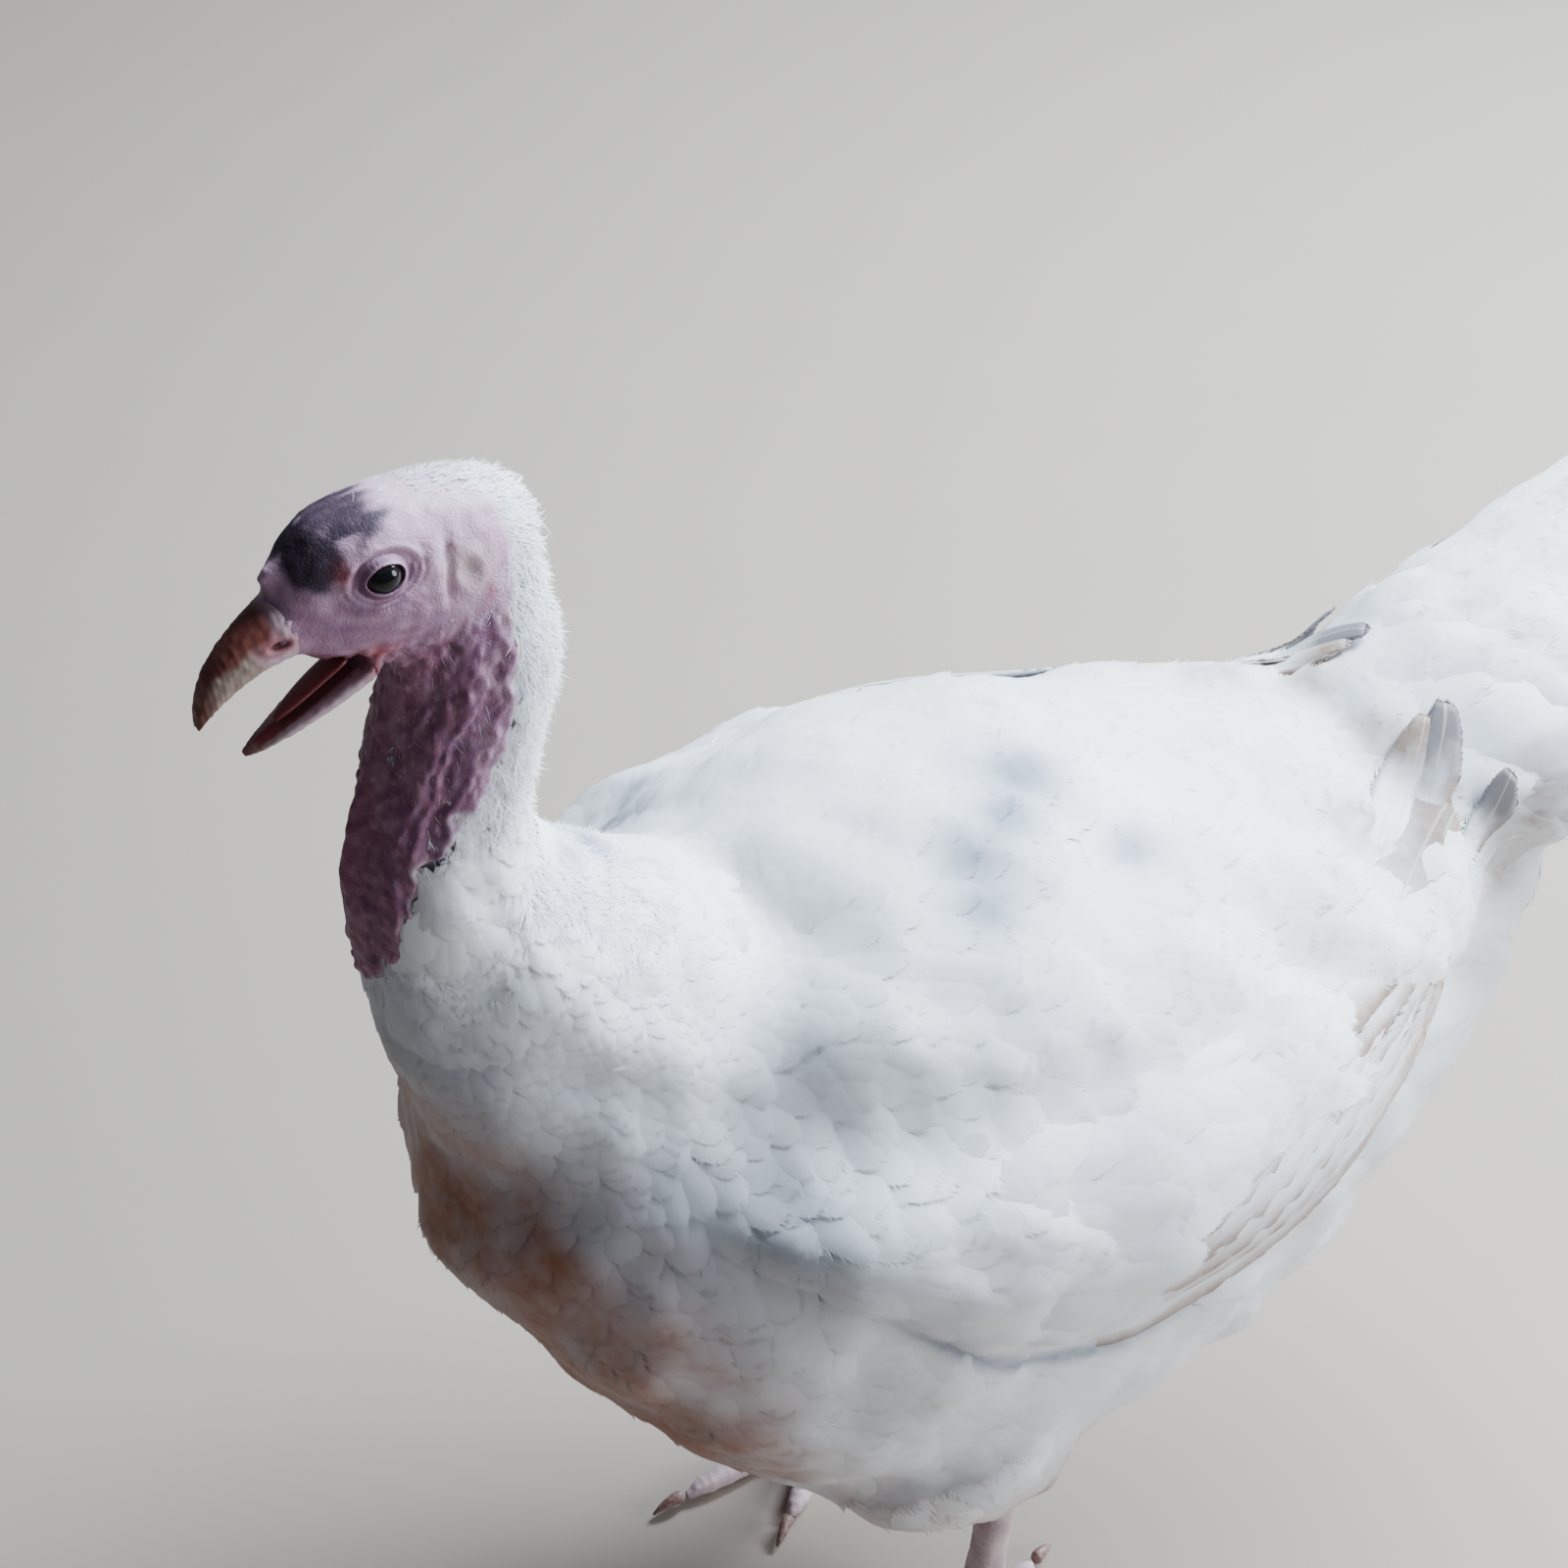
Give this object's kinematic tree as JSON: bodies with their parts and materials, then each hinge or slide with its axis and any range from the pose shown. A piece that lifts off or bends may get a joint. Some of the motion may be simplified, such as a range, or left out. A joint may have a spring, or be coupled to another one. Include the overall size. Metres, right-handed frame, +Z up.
{
  "type": "domestic turkey",
  "caption": "Life-size white domestic turkey hen standing on both feet, neck raised, head turned slightly to its left, bill open, wings folded.",
  "frame": {"origin": "on the ground, under the middle of the bird's outline", "axes": "the bird faces -X, its left side is at -Y, +Z is up"},
  "size_m": [0.6844, 0.278, 0.6033],
  "materials": {
    "face_skin": "matt bare skin, pale lilac pink",
    "neck_skin": "matt bare skin, mauve, finely warted",
    "fold_skin": "soft dark red fold of skin",
    "body_feathers": "soft white contour feathers",
    "wing_feathers": "overlapping white coverts",
    "flight_feathers": "stiff white vanes with soiled tips",
    "tail_feathers": "stiff white vanes",
    "bill_horn": "satin horn, browner along its ridge",
    "mouth_lining": "moist dark maroon",
    "eye": "wet, near black",
    "leg_scales": "dull horny scales, greyish pink",
    "claw_horn": "dull horn"
  },
  "bodies": {
    "root": {"head": "face_skin", "neck_upper": "neck_skin", "dewlap": "fold_skin", "snood": "fold_skin", "trunk": "body_feathers", "neck_lower": "body_feathers", "thigh_left": "body_feathers", "thigh_right": "body_feathers", "wing_left_coverts": "wing_feathers", "wing_right_coverts": "wing_feathers", "wing_left_flight": "flight_feathers", "wing_right_flight": "flight_feathers", "tail": "tail_feathers", "bill_upper": "bill_horn", "bill_lower": "bill_horn", "tongue": "mouth_lining", "eye_left": "eye", "eye_right": "eye", "shank_left": "leg_scales", "shank_right": "leg_scales", "toe_left_inner": "leg_scales", "toe_left_middle": "leg_scales", "toe_left_outer": "leg_scales", "toe_left_hind": "leg_scales", "toe_right_inner": "leg_scales", "toe_right_middle": "leg_scales", "toe_right_outer": "leg_scales", "toe_right_hind": "leg_scales", "claw_left_inner": "claw_horn", "claw_left_middle": "claw_horn", "claw_left_outer": "claw_horn", "claw_left_hind": "claw_horn", "claw_right_inner": "claw_horn", "claw_right_middle": "claw_horn", "claw_right_outer": "claw_horn", "claw_right_hind": "claw_horn"}
  },
  "joints": []
}
